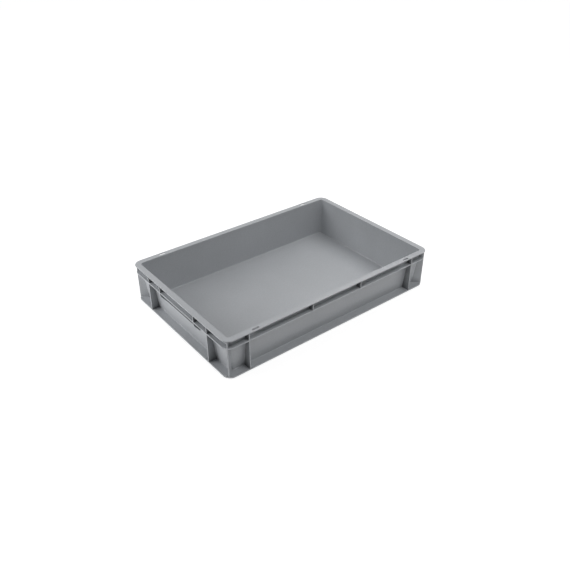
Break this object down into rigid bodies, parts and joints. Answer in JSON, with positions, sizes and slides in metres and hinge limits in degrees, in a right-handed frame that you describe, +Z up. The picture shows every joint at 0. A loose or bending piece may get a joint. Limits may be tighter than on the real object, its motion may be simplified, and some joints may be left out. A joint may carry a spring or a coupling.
{
  "type": "stacking tray",
  "caption": "Shallow open-topped stacking tray with leaning ribbed walls, a flat rim with lid slots on the long sides, and finger grips in the short sides.",
  "frame": {"origin": "on the resting face, at the middle of the tray's footprint", "axes": "+X along the long sides, +Y from the front long side to the back one, +Z up"},
  "size_m": [0.6, 0.4, 0.1],
  "materials": {
    "tray_plastic": "fine moulded grain, satin to matt grey polypropylene"
  },
  "bodies": {
    "root": {"floor_panel": "tray_plastic", "base_ledge_front": "tray_plastic", "base_ledge_back": "tray_plastic", "base_ledge_left": "tray_plastic", "base_ledge_right": "tray_plastic", "wall_front": "tray_plastic", "wall_back": "tray_plastic", "wall_left": "tray_plastic", "wall_right": "tray_plastic", "rim_front": "tray_plastic", "rim_back": "tray_plastic", "rim_left": "tray_plastic", "rim_right": "tray_plastic", "collar_front_first_bay": "tray_plastic", "collar_front_middle_bay": "tray_plastic", "collar_front_last_bay": "tray_plastic", "collar_back_first_bay": "tray_plastic", "collar_back_middle_bay": "tray_plastic", "collar_back_last_bay": "tray_plastic", "collar_left_first_bay": "tray_plastic", "collar_left_second_bay": "tray_plastic", "collar_left_grip_bay": "tray_plastic", "collar_left_fourth_bay": "tray_plastic", "collar_left_last_bay": "tray_plastic", "collar_right_first_bay": "tray_plastic", "collar_right_second_bay": "tray_plastic", "collar_right_grip_bay": "tray_plastic", "collar_right_fourth_bay": "tray_plastic", "collar_right_last_bay": "tray_plastic", "rib_front_first": "tray_plastic", "rib_front_last": "tray_plastic", "rib_back_first": "tray_plastic", "rib_back_last": "tray_plastic", "rib_left_first": "tray_plastic", "rib_left_last": "tray_plastic", "rib_right_first": "tray_plastic", "rib_right_last": "tray_plastic", "short_rib_front_first": "tray_plastic", "short_rib_front_last": "tray_plastic", "short_rib_back_first": "tray_plastic", "short_rib_back_last": "tray_plastic", "grip_rib_left_first": "tray_plastic", "grip_rib_left_last": "tray_plastic", "grip_rib_right_first": "tray_plastic", "grip_rib_right_last": "tray_plastic", "corner_front_left": "tray_plastic", "corner_front_right": "tray_plastic", "corner_back_right": "tray_plastic", "corner_back_left": "tray_plastic"}
  },
  "joints": []
}
